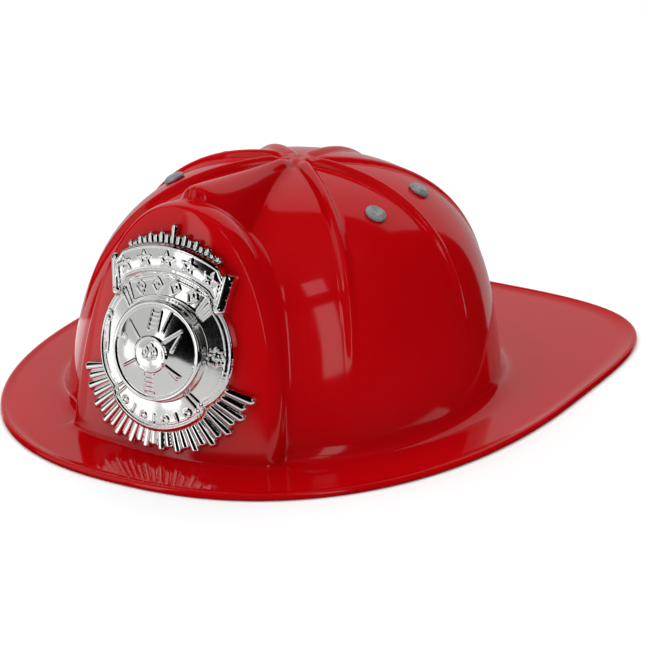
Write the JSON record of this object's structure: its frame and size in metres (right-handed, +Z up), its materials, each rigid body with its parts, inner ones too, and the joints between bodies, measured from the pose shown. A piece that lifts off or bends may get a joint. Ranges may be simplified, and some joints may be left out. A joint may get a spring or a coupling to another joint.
{
  "type": "costume firefighter helmet",
  "caption": "Costume firefighter helmet: ribbed one-piece shell with a long rear brim, a chromed front badge and an adjustable headband.",
  "frame": {"origin": "on the floor under the middle of the brim's bounding box", "axes": "+Z up; -Y is the front, where the badge is; +Y along the helmet towards the long rear brim; +X to the right of a viewer who faces the badge"},
  "size_m": [0.251, 0.314, 0.1127],
  "materials": {
    "red_shell": "moulded red, high gloss",
    "chrome_badge": "vacuum-metallised plastic, mirror bright",
    "grey_rivet": "dull mottled grey",
    "steel_fastener": "satin",
    "white_liner": "off-white moulded strip, satin",
    "grey_stud": "satin",
    "pad_foam": "dark foam strip"
  },
  "bodies": {
    "helmet": {"shell": "red_shell", "badge": "chrome_badge", "badge_push_nuts": "steel_fastener", "rivet_front_right": "grey_rivet", "rivet_rear_right": "grey_rivet", "rivet_rear_left": "grey_rivet", "rivet_front_left": "grey_rivet", "rivet_cap_front_right": "steel_fastener", "rivet_cap_rear_right": "steel_fastener", "rivet_cap_rear_left": "steel_fastener", "rivet_cap_front_left": "steel_fastener", "crown_strap_front": "white_liner", "crown_strap_rear": "white_liner", "crown_stud": "white_liner", "headband": "white_liner", "brow_pad": "pad_foam"},
    "nape": {"nape_strap": "white_liner", "adjuster_stud_right": "grey_stud", "adjuster_stud_left": "grey_stud"}
  },
  "joints": [
    {"name": "nape_adjust", "type": "slide", "parent": "helmet", "child": "nape", "axis": [0, 1, 0], "range_m": [-0.007, 0.007]}
  ]
}
